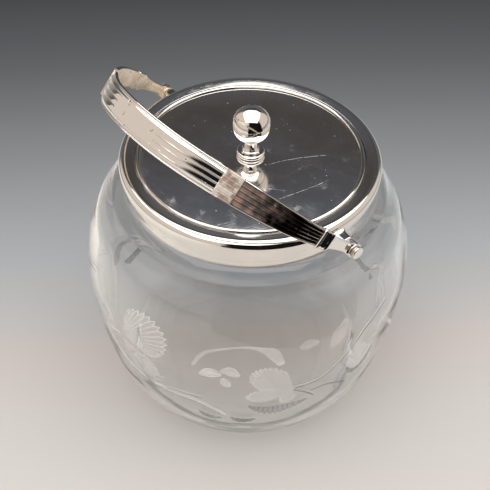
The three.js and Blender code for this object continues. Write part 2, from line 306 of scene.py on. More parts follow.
def eased(points, closed, ease, step):
    """A section with its faceted curves made smooth and its corners eased by a small radius."""
    corner_turn = math.radians(28)
    last = len(points) - 1
    sharp = [index for index in range(len(points)) if turn_at(points, index) > corner_turn]
    if closed:
        first = sharp[0] if sharp else 0
        points = points[first:] + points[: first + 1]
        marks = [index - first for index in sharp] + [len(points) - 1]
        marks = sorted(set(marks) | {0})
    else:
        marks = sorted({0, last} | {index for index in sharp if 0 < index < last})
    outline = []
    for start, end in zip(marks, marks[1:]):
        run = points[start : end + 1]
        curve = evenly(run, step) if len(run) > 2 else run
        is_corner = bool(sharp) if closed else start > 0
        outline.append((curve[0], ease * is_corner))
        outline += [(place, 0) for place in curve[1:-1]]
    if not closed:
        outline.append((points[-1], 0))
    return round_corners(outline)


def round_corners(outline, steps=6):
    """Puts a short curve in place of each place that has a radius to be eased by."""
    result = []
    for index, (here, ease) in enumerate(outline):
        if not ease:
            result.append(here)
            continue
        before, after = outline[index - 1][0], outline[(index + 1) % len(outline)][0]
        start, end = (
            here.lerp(other, min(ease / (other - here).length, 0.45)) for other in (before, after)
        )
        for step in range(steps + 1):
            share = step / steps
            result.append(start.lerp(here, share).lerp(here.lerp(end, share), share))
    return result


def placed(name, data):
    """An object in the scene with this data."""
    thing = bpy.data.objects.new(name, data)
    bpy.context.scene.collection.objects.link(thing)
    return thing


@contextlib.contextmanager
def opened(mesh):
    """A mesh's faces to edit, written back to it afterwards."""
    edit = bmesh.new()
    edit.from_mesh(mesh)
    yield edit
    edit.to_mesh(mesh)
    edit.free()


def mesh_object(name, vertices, faces, sharp=None):
    """An object at the origin with outward faces, smooth but for edges sharper than the angle."""
    mesh = bpy.data.meshes.new(name)
    mesh.from_pydata(vertices, [], faces)
    weld = 1e-7
    with opened(mesh) as edit:
        bmesh.ops.remove_doubles(edit, verts=edit.verts, dist=weld)
        bmesh.ops.recalc_face_normals(edit, faces=edit.faces)
    shade(mesh, sharp)
    return placed(name, mesh)


def shade(mesh, sharp):
    mesh.shade_smooth()
    if sharp:
        mesh.set_sharp_from_angle(angle=math.radians(sharp))


def skin(rings):
    """Faces between rings of as many vertices each; a pole is a ring of one vertex repeated."""
    faces = []
    for low, high in zip(rings, rings[1:]):
        for here, beside in zip(range(len(low)), (*range(1, len(low)), 0)):
            corners = tuple(dict.fromkeys((low[here], low[beside], high[beside], high[here])))
            if len(corners) > 2:
                faces.append(corners)
    return faces


def revolved(outline, closed, steps):
    """Vertices and faces of a section turned about Z; ends on the axis become poles."""
    vertices, rings = [], []
    on_axis = 1e-7
    for place in outline:
        if place.x < on_axis:
            rings.append([len(vertices)] * steps)
            vertices.append((0, 0, place.y))
            continue
        rings.append(range(len(vertices), len(vertices) + steps))
        for step in range(steps):
            angle = 2 * math.pi * step / steps
            vertices.append((place.x * math.cos(angle), place.x * math.sin(angle), place.y))
    return vertices, skin(rings + rings[:1] if closed else rings)


def turned_piece(name, node, body, slot, material, ease=0.2 * MM, step=0.8 * MM, steps=192):
    """A turned node made again from its own section, fine and with eased edges."""
    points, closed = section_of(node)
    outline = eased(points, closed, ease, step)
    piece = mesh_object(name, *revolved(outline, closed, steps), sharp=50)
    return dressed(piece, body, slot, material, node)


def cast_piece(name, node, body, slot, material, ease=0.25 * MM):
    """A node's own shape with its edges rounded."""
    mesh = nodes[node].data.copy()
    weld, flat = 1e-6, math.radians(1)
    with opened(mesh) as edit:
        bmesh.ops.remove_doubles(edit, verts=edit.verts, dist=weld)
        bmesh.ops.dissolve_limit(edit, angle_limit=flat, verts=edit.verts, edges=edit.edges)
    mesh.materials.clear()
    piece = placed(name, mesh)
    bevel = piece.modifiers.new("eased_edges", "BEVEL")
    bevel.width = ease
    bevel.segments = 3
    bevel.limit_method = "ANGLE"
    bevel.angle_limit = math.radians(35)
    bevel.harden_normals = False
    piece = made_plain(piece)
    shade(piece.data, 40)
    return dressed(piece, body, slot, material, node)


def corner_outline(corners):
    """An outline from (radius, height, easing) corners."""
    return round_corners([(Vector((out, up)), ease) for out, up, ease in corners])


def rounded_section(wide, thick, fullness=5.0, count=48):
    """Places round a section between an oval and a rectangle, as half width and half thickness."""
    places = []
    for step in range(count):
        angle = 2 * math.pi * (step + 0.5) / count
        across, up = math.cos(angle), math.sin(angle)
        places.append((
            wide * math.copysign(abs(across) ** (2 / fullness), across),
            thick * math.copysign(abs(up) ** (2 / fullness), up),
        ))
    return places


def lofted(rings):
    """Vertices and faces of a closed skin over rings that have as many places each."""
    size = len(rings[0])
    numbers = [range(start, start + size) for start in range(0, size * len(rings), size)]
    vertices = [place for ring in rings for place in ring]
    return vertices, skin(numbers) + [tuple(numbers[0]), tuple(numbers[-1])]


def joined(*shapes):
    """Several closed shapes as one list of vertices and faces."""
    vertices, faces = [], []
    for more, corners in shapes:
        faces += [tuple(index + len(vertices) for index in face) for face in corners]
        vertices += more
    return vertices, faces


def about_pivot(outline, closed, side, steps=96):
    """An outline, as (radius, distance from the middle along X), turned about the pivot line."""
    vertices, faces = revolved(outline, closed, steps)
    return [(side * z, x, y + pivot.z) for x, y, z in vertices], faces


def made_plain(piece):
    """The piece with its modifiers' result as its own mesh."""
    graph = bpy.context.evaluated_depsgraph_get()
    mesh = bpy.data.meshes.new_from_object(piece.evaluated_get(graph))
    piece.modifiers.clear()
    old = piece.data
    piece.data = mesh
    bpy.data.meshes.remove(old)
    mesh.name = piece.name
    return piece


def dressed(piece, body, slot, material, *replaced):
    """Gives a piece its finish, sets it on its body's empty and hides the nodes it stands for."""
    piece.data.materials.clear()
    piece.data.materials.append(material)
    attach(piece, body)
    if replaced:
        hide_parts(*replaced)
    return piece


# Finishes


def blank_material(name):
    material = bpy.data.materials.new(name)
    material.use_nodes = True
    material.node_tree.nodes.clear()
    return material, Tree(material.node_tree)


def shine(tree, sockets):
    """A Principled surface as the material's output."""
    surface = tree.add("ShaderNodeBsdfPrincipled", sockets=sockets)
    tree.add("ShaderNodeOutputMaterial", sockets={"Surface": surface})


def scratches(tree, place, *kinds):
    """Fine straight scratches, 1 on a scratch and broken up along their length. Each kind has
    its bearing, how many there are in a metre, their thickness and how rare they are."""
    wander = tree.noise(place, 18.0, 1.0)
    marks = 0.0
    for bearing, per_metre, thickness, rarity in kinds:
        across = place.dot((-math.sin(bearing), math.cos(bearing), 0.3))
        line = (across * per_metre + wander * 2.2).off_half().smooth(thickness, 0.0)
        keep = tree.noise(place, 55.0 + per_metre * 0.05, 1.0).smooth(rarity, rarity + 0.06)
        marks = line * keep + marks
    return marks


def plate_silver(name, tint, worn, wobble, streaks):
    """Polished silver plate: a slow unevenness, rubbed patches and fine scratches."""
    material, tree = blank_material(name)
    place = tree.object_place()
    rubbed = tree.noise(place, 60.0, 4.0, 0.6)
    kinds = (0.5, 900.0, 0.05, 0.5), (2.1, 1300.0, 0.05, 0.52), (1.3, 700.0, 0.04, 0.54)
    fine = scratches(tree, place, *kinds)
    height = tree.noise(place, 45.0, 2.0) * wobble + tree.noise(place, 900.0, 2.0) * 0.0012
    darker = [part * 0.93 for part in tint]
    shine(tree, {
        "Base Color": tree.mix(rubbed.smooth(0.35, 0.65), tint, darker),
        "Metallic": 1.0,
        "Roughness": worn * (0.6 + rubbed * 0.8) + fine * streaks,
        "Normal": tree.bump(height - fine * 0.002),
    })
    return material


# Rubs on the lid: where each starts, passes and ends, its width and its strength
lid_rubs = [
    ((0.0103, 0.0001), (0.0159, 0.0160), (0.0225, 0.0284), 0.50 * MM, 1.0),
    ((0.0310, -0.0110), (0.0338, 0.0036), (0.0354, 0.0168), 0.40 * MM, 0.8),
    ((0.0127, -0.0171), (0.0211, -0.0103), (0.0299, -0.0028), 0.45 * MM, 0.4),
]


def circle_through(start, bend, end):
    """The centre and radius of the circle through three places."""
    (ax, ay), (bx, by), (cx, cy) = start, bend, end
    twice = 2 * (ax * (by - cy) + bx * (cy - ay) + cx * (ay - by))
    a, b, c = ax * ax + ay * ay, bx * bx + by * by, cx * cx + cy * cy
    centre = Vector((
        (a * (by - cy) + b * (cy - ay) + c * (ay - by)) / twice,
        (a * (cx - bx) + b * (ax - cx) + c * (bx - ax)) / twice,
    ))
    return centre, (centre - Vector(start)).length


def lid_mirror():
    """Flat mirror silver: a light haze, fine polishing lines, specks and a few long curved rubs."""
    material, tree = blank_material("lid_mirror")
    place = tree.object_place()
    kinds = (0.5, 900.0, 0.05, 0.52), (2.1, 1500.0, 0.05, 0.54), (1.3, 700.0, 0.04, 0.56)
    fine = scratches(tree, place, *kinds)
    rubs = 0.0
    wander = tree.noise(place, 60.0, 2.0) * (1.6 * MM) - 0.8 * MM
    broken = tree.noise(place, 900.0, 2.0).smooth(0.2, 0.55)
    for start, bend, end, width, strength in lid_rubs:
        centre, radius = circle_through(start, bend, end)
        reach = (Vector(end) - Vector(start)).length * 0.55
        middle = (Vector(start) + Vector(end)) / 2
        away = place.distance((*centre, rim_height))
        line = abs(away + wander - radius).smooth(width, 0.0)
        near = place.distance((*middle, rim_height)).smooth(reach, reach * 0.7)
        rubs = line * near * broken * strength + rubs
    haze = tree.noise(place, 70.0, 5.0, 0.65).smooth(0.38, 0.72)
    smudges = tree.noise(place, 110.0, 4.0, 0.6).smooth(0.60, 0.72)
    grain = tree.noise(place, 1600.0, 2.0)
    specks = tree.noise(place, 640.0, 1.0).smooth(0.765, 0.785)
    roughness = 0.06 + haze * 0.05 + grain * 0.04 + fine * 0.14 + rubs * 0.26 + specks * 0.3
    height = tree.noise(place, 40.0, 1.0) * 0.008 + grain * 0.0012 - fine * 0.002
    shine(tree, {
        "Base Color": tree.mix(haze, (0.94, 0.93, 0.92), (0.78, 0.75, 0.73)),
        "Metallic": 1.0,
        "Roughness": roughness + smudges * grain * 0.22,
        "Normal": tree.bump(height),
    })
    return material


def clear_glass():
    """Clear blown glass with a slow waviness, a faint haze and a streaky white ring below the
    collar that is painted highlight; darker in the thick floor, partly the glass's own absorption
    and partly painted shade, and much darker at the neck as painted shade; lamps shine through it."""
    material, tree = blank_material("clear_glass")
    place = tree.object_place()
    x, y, up = place.parts()
    out = (x * x + y * y) ** 0.5
    # Darker in the thick floor, partly the glass's own absorption and partly painted shade; much
    # darker at the neck, painted shade.
    base = up.smooth(14 * MM, 10 * MM) * out.smooth(62 * MM, 44 * MM)
    neck = up.smooth(115.5 * MM, 118 * MM)
    tint = tree.mix(base, (0.985, 0.988, 0.985), (0.93, 0.92, 0.915))
    tint = tree.mix(neck, tint, (0.78, 0.79, 0.80))
    wave = tree.noise(place, 30.0, 1.5)
    glass = tree.add("ShaderNodeBsdfPrincipled", sockets={
        "Base Color": tint,
        "Roughness": 0.0,
        "IOR": 1.5,
        "Transmission Weight": 1.0,
        "Normal": tree.bump(wave, 0.35 * MM),
    })
    # Painted highlight: horizontal white streaks in a ring below the collar, laid on as the lamp's
    # streaky reflection in the glass.
    level = place.vector("MULTIPLY", (12.0, 12.0, 800.0))
    painted_highlight_streaks = tree.noise(level, 1.0, 2.0).smooth(0.5, 0.64)
    painted_highlight_streaks = painted_highlight_streaks * tree.noise(place, 24.0, 1.0).smooth(0.45, 0.6)
    painted_highlight_streaks = painted_highlight_streaks * up.smooth(112 * MM, 115 * MM) * up.smooth(120.5 * MM, 118.5 * MM)
    film_and_painted_highlight = tree.noise(place, 90.0, 3.0).smooth(0.2, 0.8) * 0.012 + 0.004 + painted_highlight_streaks * 0.09
    sockets = {"Base Color": (0.97, 0.96, 0.96), "Roughness": 1.0, "Specular IOR Level": 0.0}
    dust_and_painted_highlight = tree.add("ShaderNodeBsdfPrincipled", sockets=sockets)
    glass_filmed_and_highlighted = tree.add("ShaderNodeMixShader", sockets={0: film_and_painted_highlight, 1: glass, 2: dust_and_painted_highlight})
    passing = tree.add("ShaderNodeBsdfTransparent", sockets={"Color": (0.85, 0.85, 0.85)})
    shadow = tree.add("ShaderNodeLightPath", out="Is Shadow Ray")
    both = tree.add("ShaderNodeMixShader", sockets={0: shadow, 1: glass_filmed_and_highlighted, 2: passing})
    tree.add("ShaderNodeOutputMaterial", sockets={"Surface": both})
    return material


def cut_frost():
    """Wheel-cut glass: a fine white frost, streaked along the veins and glowing faintly as painted
    light, and deep cuts painted dark grey as painted shade.
    """
    material, tree = blank_material("cut_frost")
    place = tree.object_place()
    margin, vein, dark = (tree.attribute(name) for name in ("margin", "vein", "dark"))
    streak = vein.off_half().smooth(0.28, 0.5)
    outline = margin.smooth(0.93, 0.97)
    grain = tree.noise(place, 1400.0, 3.0)
    patches = tree.noise(place, 120.0, 3.0).smooth(0.3, 0.7)
    frost = 0.02 + margin * 0.04 + patches * 0.03 + streak * 0.17 + outline * 0.12
    deep = 0.26 + patches * 0.16 + streak * 0.10
    cover = frost + (deep - frost) * abs(dark)
    # Above 0 the dark value paints the cut dark grey, as painted shade; below 0 it only thickens
    # the white frost.
    tone = (dark * 0.9 + streak * dark * 0.2).at_least(0.0).at_most(1.0)
    shine(tree, {
        "Base Color": tree.mix(tone, (0.98, 0.96, 0.95), (0.16, 0.165, 0.18)),
        "Roughness": 0.7,
        "Alpha": (cover * (0.75 + grain * 0.5)).at_most(1.0),
        # Painted light: the white frost glows a little, as if lit from behind through the glass;
        # the dark cuts do not glow.
        "Emission Color": tree.mix(tone, (0.95, 0.92, 0.90), (0.0, 0.0, 0.0)),
        "Emission Strength": 0.3,
        "Normal": tree.bump(grain, 0.1 * MM, 0.6),
    })
    return material


def dull_brass():
    material, tree = blank_material("dull_brass")
    stain = tree.noise(tree.object_place(), 400.0, 3.0).smooth(0.4, 0.7)
    shine(tree, {
        "Base Color": tree.mix(stain, (0.62, 0.50, 0.28), (0.36, 0.28, 0.17)),
        "Metallic": 1.0,
        "Roughness": 0.3 + stain * 0.25,
    })
    return material


def set_plaster():
    material, tree = blank_material("set_plaster")
    grain = tree.noise(tree.object_place(), 900.0, 4.0)
    shine(tree, {
        "Base Color": tree.mix(grain, (0.80, 0.77, 0.70), (0.62, 0.58, 0.50)),
        "Roughness": 0.9,
        "Normal": tree.bump(grain, 0.2 * MM, 0.6),
    })
    return material


# The handle: its arch line, drawn upright, leans about the pivot line

arch_shares = [
    (1, -0.12), (1, 0), (0.997, 0.127), (0.98, 0.276), (0.907, 0.454), (0.745, 0.646),
    (0.542, 0.814), (0.294, 0.953), (0, 1),
]
arch_samples = 704


class Arch:
    """The handle's middle line, measured along from the +X pivot."""

    def __init__(self):
        half = [(across * handle_half_span, up * handle_rise) for across, up in arch_shares]
        places = spline(half + [(-across, up) for across, up in reversed(half[:-1])], arch_samples)
        start = next(index for index, place in enumerate(places) if place.y >= 0)
        self.places = places[start : len(places) - start]
        self.travelled = distances_along(self.places)
        self.length = self.travelled[-1]
        self.lean = Matrix.Translation(pivot) @ Matrix.Rotation(handle_lean, 4, "X")

    def at(self, distance):
        """The upright place and outward direction at a distance, as (x, z) pairs."""
        index, share = between(self.travelled, distance)
        before = self.places[max(index - 1, 0)]
        after = self.places[min(index + 2, len(self.places) - 1)]
        along = (after - before).normalized()
        place = self.places[index].lerp(self.places[index + 1], share)
        return place, Vector((along.y, -along.x))

    def leaned(self, place, outward, across, out):
        """A point across the arch and out from its line, leaned as the handle stands at rest."""
        spot = place + outward * out
        return self.lean @ Vector((spot.x, across, spot.y))


band_start = 24.0 * MM
band_end_width = 8.0 * MM
band_crown_width = 12.4 * MM
tie_start = 64.5 * MM
tie_length = 8.0 * MM
flute_end = 103.0 * MM


def band_half_width(arch, up):
    low = arch.at(band_start)[0].y
    share = (up - low) / (handle_rise - low)
    widening = math.sin(min(max(share, 0), 1) * math.pi / 2)
    return (band_end_width + (band_crown_width - band_end_width) * widening) / 2


def band_rows(arch):
    """Distances of the band's rows: close together in the ties, further apart elsewhere."""
    marks = [band_start, tie_start - MM, tie_start + tie_length + MM, arch.length / 2]
    spacings = (0.6 * MM, 0.16 * MM, 0.6 * MM)
    rows = [band_start]
    for start, end, spacing in zip(marks, marks[1:], spacings):
        count = math.ceil((end - start) / spacing)
        rows += [start + (end - start) * (step + 1) / count for step in range(count)]
    return rows + [arch.length - row for row in reversed(rows[:-1])]


def blank_piece(name, vertices, edges, faces, values):
    """A piece for a tree to shape, with a number or a direction by name on each vertex."""
    mesh = bpy.data.meshes.new(f"{name}_blank")
    mesh.from_pydata(vertices, edges, faces)
    with opened(mesh) as edit:
        bmesh.ops.recalc_face_normals(edit, faces=edit.faces)
    for label, numbers in values.items():
        kind, field = "FLOAT", "value"
        if isinstance(numbers[0], Vector):
            kind, field = "FLOAT_VECTOR", "vector"
            numbers = [part for direction in numbers for part in direction]
        mesh.attributes.new(label, kind, "POINT").data.foreach_set(field, numbers)
    return placed(name, mesh)


def band_blank(arch):
    """The plain band, with what its relief needs on each vertex."""
    columns, back_columns = 128, 12
    edge_shares = (0.5, 1, 1.5)
    thick = band_thickness / 2
    vertices, rows = [], []
    values = {"from_end": [], "across": [], "from_edge": [], "outward": []}
    for distance in band_rows(arch):
        place, outward = arch.at(distance)
        half = band_half_width(arch, place.y)
        face = arch.lean.to_3x3() @ Vector((outward.x, 0, outward.y))
        from_end = min(distance, arch.length - distance)
        section = [(half * (2 * c / columns - 1), thick, 1) for c in range(columns + 1)]
        section += [(half, thick * (1 - share), 0) for share in edge_shares]
        section += [(half * (1 - 2 * c / back_columns), -thick, 0) for c in range(back_columns + 1)]
        section += [(-half, thick * (share - 1), 0) for share in edge_shares]
        rows.append(range(len(vertices), len(vertices) + len(section)))
        for across, out, front in section:
            vertices.append(arch.leaned(place, outward, across, out))
            for column, value in zip(
                values.values(), (from_end, across, half - abs(across), face * front)
            ):
                column.append(value)
    faces = skin(rows) + [tuple(rows[0]), tuple(rows[-1][::-1])]
    return blank_piece("handle_band_silver", vertices, [], faces, values)


def geometry_tree(name, sizes):
    """A Geometry Nodes tree with named inputs, its geometry wire and its inputs by name."""
    group = bpy.data.node_groups.new(name, "GeometryNodeTree")
    group.interface.new_socket("Geometry", in_out="INPUT", socket_type="NodeSocketGeometry")
    group.interface.new_socket("Geometry", in_out="OUTPUT", socket_type="NodeSocketGeometry")
    for label, value in sizes.items():
        kind = "NodeSocketInt" if isinstance(value, int) else "NodeSocketFloat"
        group.interface.new_socket(label, in_out="INPUT", socket_type=kind).default_value = value
    tree = Tree(group)
    wires = tree.outputs("NodeGroupInput")
    return group, tree, wires.pop("Geometry"), wires


def finish_tree(tree, geometry, material):
    """Ends a tree as the export needs: instances made real, and its material set."""
    real = tree.add("GeometryNodeRealizeInstances", sockets={0: geometry})
    painted = tree.add("GeometryNodeSetMaterial", sockets={"Geometry": real, "Material": material})
    tree.add("NodeGroupOutput", sockets={0: painted})


def run_tree(piece, group, sizes):
    """Runs a tree on a piece with its named inputs and keeps the plain mesh."""
    modifier = piece.modifiers.new(group.name, "NODES")
    modifier.node_group = group
    for item in group.interface.items_tree:
        if item.in_out == "INPUT" and item.name in sizes:
            modifier[item.identifier] = sizes[item.name]
    return made_plain(piece)


def named(tree, name, kind="FLOAT"):
    return tree.add("GeometryNodeInputNamedAttribute", {"data_type": kind}, {"Name": name})


def band_relief(material):
    """Moves the band's outer face: reeding at the ends, cut ties, flutes and a raised border."""
    sizes = {
        "Reed count": 5,
        "Reed depth": 0.42 * MM,
        "Ridge share": 0.17,
        "Border width": 0.5 * MM,
        "Groove depth": 0.2 * MM,
        "Bevel width": 2.3 * MM,
        "Bevel drop": 0.42 * MM,
        "Tie start": tie_start,
        "Tie length": tie_length,
        "Tie proud": 0.2 * MM,
        "Tie cut depth": 0.14 * MM,
        "Tie cuts": 5,
        "Flute end": flute_end,
        "Flute depth": 0.16 * MM,
        "Flute outline": 0.025 * MM,
        "Flute share": 0.9,
    }
    group, tree, geometry, size = geometry_tree("band_relief", sizes)

    # Where each vertex lies on the blank band
    from_end, across, from_edge = (
        named(tree, name) for name in ("from_end", "across", "from_edge")
    )
    outward = named(tree, "outward", "FLOAT_VECTOR")
    soft = 0.25 * MM

    half = abs(across) + from_edge
    place = (across / (half - size["Border width"] * 1.3) + 1) / 2
    tie_end = size["Tie start"] + size["Tie length"]
    in_reeding = from_end.smooth(size["Tie start"], size["Tie start"] - soft)
    after_tie = from_end.smooth(tie_end - soft, tie_end)
    in_tie = (1 - in_reeding) * (1 - after_tie)

    # Reeding: narrow ridges between flat channels
    ridge = (0.5 - (place * size["Reed count"]).off_half()).smooth(size["Ridge share"], 0.0)
    inside = from_edge.smooth(size["Border width"] * 0.8, size["Border width"] * 1.5)
    reeding = (1 - ridge) * inside * -1 * size["Reed depth"] * in_reeding
    rounding = from_edge.smooth(0.28 * MM, 0.0) * (-0.16 * MM)

    # Border past the tie: a bead, a groove, then a broad bevel up to the panel
    from_groove = abs(from_edge - size["Border width"] * 1.35)
    groove = from_groove.smooth(size["Border width"] * 0.4, 0.0)
    bevel = from_edge.smooth(size["Bevel width"], size["Border width"] * 1.9)
    border = (bevel * size["Bevel drop"] + groove * size["Groove depth"]) * -1

    # Flutes: three hollows side by side, deep at the tie and shallow at their rounded far ends
    flute_zone = half - size["Bevel width"]
    in_flute = ((across / flute_zone + 1) / 2 * 3).math("FRACT") - 0.5
    flute_half = flute_zone / 3 * size["Flute share"]
    sideways = in_flute * 2 * (flute_zone / 3) / flute_half
    past = (from_end - (size["Flute end"] - flute_half)).at_least(0.0) / flute_half
    away = (sideways * sideways + past * past).at_most(1.0)
    near_middle = abs(across).math("LESS_THAN", flute_zone)
    nearness = (size["Flute end"] - from_end) / (size["Flute end"] - tie_end)
    deepening = 0.2 + nearness.at_least(0.0) ** 2.0 * 0.8
    hollow = (1 - away) * deepening * size["Flute depth"]
    outline = (1 - away ** 4.0) * size["Flute outline"]
    flutes = (hollow + outline) * near_middle * -1

    # Tie: cuts along and across a raised strap, which leave small blocks
    along_cut = (place * size["Tie cuts"]).off_half().smooth(0.32, 0.5)
    rows = (from_end - size["Tie start"]) / (size["Tie length"] / 3)
    cross_cut = rows.off_half().smooth(0.36, 0.5)
    cuts = along_cut.at_least(cross_cut * 0.8) * inside
    tie = size["Tie proud"] - cuts * size["Tie cut depth"]

    relief = reeding + rounding + in_tie * tie + after_tie * (border + flutes)
    moved = tree.add("ShaderNodeVectorMath", {"operation": "SCALE"}, {0: outward, "Scale": relief})
    shaped = tree.add("GeometryNodeSetPosition", sockets={"Geometry": geometry, "Offset": moved})

    # Brown patina in the channels and the cuts; above 1 the ridges are painted black as a dark
    # reflection
    in_channels = in_reeding * (1 - ridge).smooth(0.25, 0.85) * inside
    ridges_painted_dark = in_reeding * ridge * inside * from_end.smooth(32 * MM, 38 * MM) * 2
    flute_lines = away.smooth(0.6, 0.9) * near_middle * 0.45
    flute_lines = flute_lines * from_end.smooth(flute_end, flute_end - MM)
    in_border = after_tie * (groove + flute_lines)
    tarnish = in_channels + ridges_painted_dark + in_tie * (0.1 + cuts * 0.75) + in_border
    stain_and_painted_dark = tree.add(
        "GeometryNodeStoreNamedAttribute",
        {"data_type": "FLOAT", "domain": "POINT"},
        {"Geometry": shaped, "Name": "tarnish", "Value": tarnish},
    )
    finish_tree(tree, stain_and_painted_dark, material)
    return group, sizes


def handle_silver():
    """Silver plate: brown patina in the reeding and the cuts, painted black as a dark reflection
    towards the handle's ends, and a dull golden inner face."""
    material, tree = blank_material("handle_silver")
    place = tree.object_place()
    tarnish, from_end = (tree.attribute(name) for name in ("tarnish", "from_end"))
    patchy = tree.noise(place, 260.0, 3.0).smooth(0.3, 0.7)
    # Painted dark reflection: from the reeding's middle to the tie and past it the brown turns
    # black and the metal dull.
    painted_dark_near_tie = (from_end + patchy * 10 * MM).smooth(46 * MM, 66 * MM)
    cover = (1 - painted_dark_near_tie).at_least(0.76 + patchy * 0.24)
    stain_and_painted_dark = (tarnish * cover).at_most(1.0)
    brown = tree.mix(patchy, (0.05, 0.03, 0.025), (0.52, 0.34, 0.28))
    brown = tree.mix(painted_dark_near_tie, (0.015, 0.013, 0.012), brown)
    # Above 1 the ridges are painted black, a dark reflection.
    brown = tree.mix(tarnish.smooth(1.1, 1.8), brown, (0.03, 0.02, 0.018))
    colour = tree.mix(stain_and_painted_dark, (0.93, 0.90, 0.86), brown)

    upright = Vector((0, -math.sin(handle_lean), math.cos(handle_lean)))
    middle = pivot + upright * handle_rise / 2
    outwards = place.vector("SUBTRACT", middle).vector("NORMALIZE")
    facing = tree.add("ShaderNodeTexCoord", out="Normal")
    dull = facing.dot(outwards).smooth(-0.35, -0.7)
    golden = tree.noise(place, 110.0, 3.0).smooth(0.35, 0.65)
    golden = tree.mix(golden, (0.80, 0.66, 0.50), (0.99, 0.90, 0.79))
    colour = tree.mix(dull, colour, golden)

    tie_end = tie_start + tie_length
    edge = 0.2 * MM
    in_tie = from_end.smooth(tie_start - edge, tie_start + edge)
    in_tie = in_tie * from_end.smooth(tie_end + edge, tie_end - edge)
    rubbed = tree.noise(place, 230.0, 1.0).smooth(0.40, 0.54)
    blocks = tree.mix(rubbed, (0.93, 0.84, 0.76), (0.46, 0.32, 0.24))
    colour = tree.mix(in_tie * (1 - stain_and_painted_dark), colour, blocks)

    specks = tree.noise(place, 420.0, 2.0).smooth(0.68, 0.73)
    height = tree.noise(place, 60.0, 2.0) * 0.02 + tree.noise(place, 700.0, 2.0) * 0.0015
    shine(tree, {
        "Base Color": tree.mix(specks * 0.6, colour, (0.42, 0.36, 0.30)),
        "Metallic": 1 - (stain_and_painted_dark * painted_dark_near_tie * 0.8 + dull * 0.4 + in_tie * 0.6).at_most(0.8),
        "Roughness": 0.05 + stain_and_painted_dark * 0.3 + patchy * 0.03 + dull * 0.2 + in_tie * 0.35,
        "Normal": tree.bump(height - specks * 0.05),
    })
    return material


# The handle's cast ends: distances along the arch, half widths, and how far front and back lie
# from the arch's line
end_stations = [
    (1.9, 3.1, 2.0, 2.0),
    (3.2, 3.0, 1.75, 1.75),
    (4.4, 2.62, 1.38, 1.36),
    (6.5, 2.46, 1.25, 1.25),
    (10.0, 2.5, 1.25, 1.22),
    (13.5, 2.72, 1.28, 1.18),
    (16.0, 3.08, 1.35, 1.14),
    (17.6, 3.5, 1.45, 1.12),
    (19.5, 4.05, 1.5, 1.08),
    (21.3, 4.2, 1.46, 1.02),
    (23.0, 4.15, 1.5, 0.95),
    (24.4, 4.0, 0.9, 0.9),
]
end_beads = [(18.55, 0.85, 0.42), (23.45, 0.55, 0.4)]


def handle_end(arch, side, name):
    """The cast end: an arm that swells to a plain block between two beads, with its eye."""
    places = spline([station[1:] for station in end_stations], 8 * (len(end_stations) - 1))
    marks = [mark.x for mark in spline([(s[0], 0) for s in end_stations], len(places) - 1)]
    start, end = marks[0], marks[-1]
    ring_gap = 0.11
    steps = round((end - start) / ring_gap)
    rings = []
    for step in range(steps + 1):
        distance = start + (end - start) * step / steps
        index, share = between(marks, distance)
        wide, front, back = places[index].lerp(places[index + 1], share)
        for middle, reach, proud in end_beads:
            off = abs(distance - middle) / reach
            swell = proud * math.sqrt(max(1 - off * off, 0))
            wide += swell
            front += swell
        place, outward = arch.at(distance * MM)
        lift = (front - back) / 2 * MM
        section = rounded_section(wide * MM, (front + back) / 2 * MM)
        ring = (arch.leaned(place, outward, across, out + lift) for across, out in section)
        rings.append([Vector((v.x * side, v.y, v.z)) for v in ring])
    arm = lofted(rings)
    corners = [
        (eye_bore, eye_inner, 0.2 * MM), (eye_radius, eye_inner, 0.5 * MM),
        (eye_radius, eye_outer, 1.1 * MM), (eye_bore, eye_outer, 0.15 * MM),
    ]
    eye = about_pivot(corner_outline(corners), True, side)
    return mesh_object(name, *joined(arm, eye), sharp=60)


def handle_band(arch, material):
    piece = run_tree(band_blank(arch), *band_relief(material))
    shade(piece.data, 60)
    dressed(piece, "handle", "handle_silver", material, "handle_band")


def lug(side, name):
    """A flat-topped bracket, flaring where it is soldered to the collar."""
    low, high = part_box("lug_right")
    root_wide, tip_wide = 3.2 * MM, 2.4 * MM
    root_low, tip_low = low.z, pivot.z - 3 * MM
    edge = 0.8 * MM
    start = low.x - 0.6 * MM
    rings = []
    steps = 56
    for step in range(steps + 1):
        out = start + (high.x - start) * math.sin(step / steps * math.pi / 2)
        share = (out - low.x) / (high.x - low.x)
        flare = math.exp(-max(out - low.x, 0) / (0.7 * MM))
        past = min(max(out - (high.x - edge), 0), edge)
        inset = edge - math.sqrt(edge * edge - past * past)
        wide = root_wide + (tip_wide - root_wide) * share + flare * 1.3 * MM - inset
        top = high.z + flare * 0.7 * MM - inset
        bottom = root_low + (tip_low - root_low) * share - flare * 0.9 * MM + inset
        middle, half = (top + bottom) / 2, (top - bottom) / 2
        section = rounded_section(wide, half, 6.5, 64)
        rings.append([Vector((side * out, across, middle + up)) for across, up in section])
    return mesh_object(name, *lofted(rings), sharp=60)


def pin(side, name):
    """A headed pin through lug and eye, its head nearly flat."""
    (inner, _, _), (face, _, top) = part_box("pivot_pin_right")
    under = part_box("pivot_washer_right")[1].x + running_gap
    head = top - pivot.z
    corners = [
        (0, inner, 0), (pin_radius, inner, 0.2 * MM), (pin_radius, under, 0),
        (head, under, 0.15 * MM), (head, face - 0.1 * MM, 0.55 * MM), (0, face, 0),
    ]
    return mesh_object(name, *about_pivot(corner_outline(corners), False, side), sharp=45)


def pin_washer(side, name):
    (inner, _, _), (outer, _, top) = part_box("pivot_washer_right")
    rings = [(eye_bore, inner), (top - pivot.z, inner), (top - pivot.z, outer), (eye_bore, outer)]
    corners = [(radius, along, 0.15 * MM) for radius, along in rings]
    return mesh_object(name, *about_pivot(corner_outline(corners), True, side), sharp=60)


